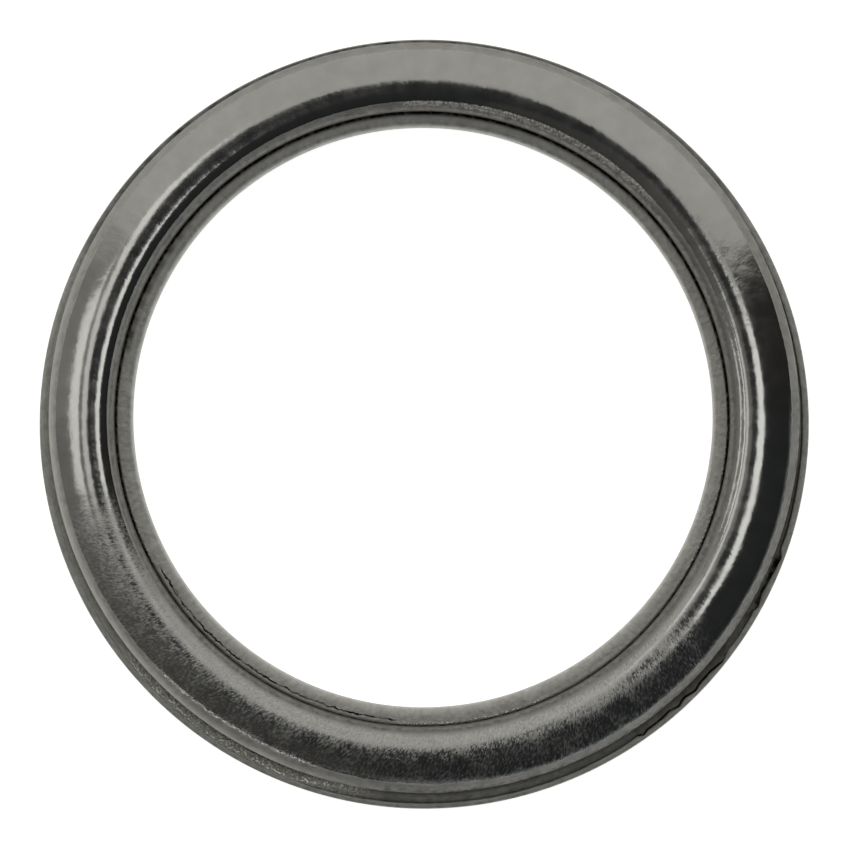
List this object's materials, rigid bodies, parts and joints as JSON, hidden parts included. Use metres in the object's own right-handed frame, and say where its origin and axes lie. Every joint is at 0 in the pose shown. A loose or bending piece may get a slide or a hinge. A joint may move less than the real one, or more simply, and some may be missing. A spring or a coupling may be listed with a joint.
{
  "type": "oil drain plug gasket",
  "caption": "Hollow folded-sheet crush gasket ring with a domed top layer, a beaded bore and a flat bottom with an upturned rim.",
  "frame": {"origin": "on the axis of the upturned rim, in the plane of the flat bottom that the gasket lies on", "axes": "+Z along the ring's axis, from the flat bottom towards the dome; +Y towards the side where the folds lie nearest the rim"},
  "size_m": [0.027, 0.027, 0.0023],
  "materials": {
    "steel_sheet": "cold-formed steel sheet, burnished on the dome and dull on the bends and the rim"
  },
  "bodies": {
    "root": {"folded_gasket_ring": "steel_sheet"}
  },
  "joints": []
}
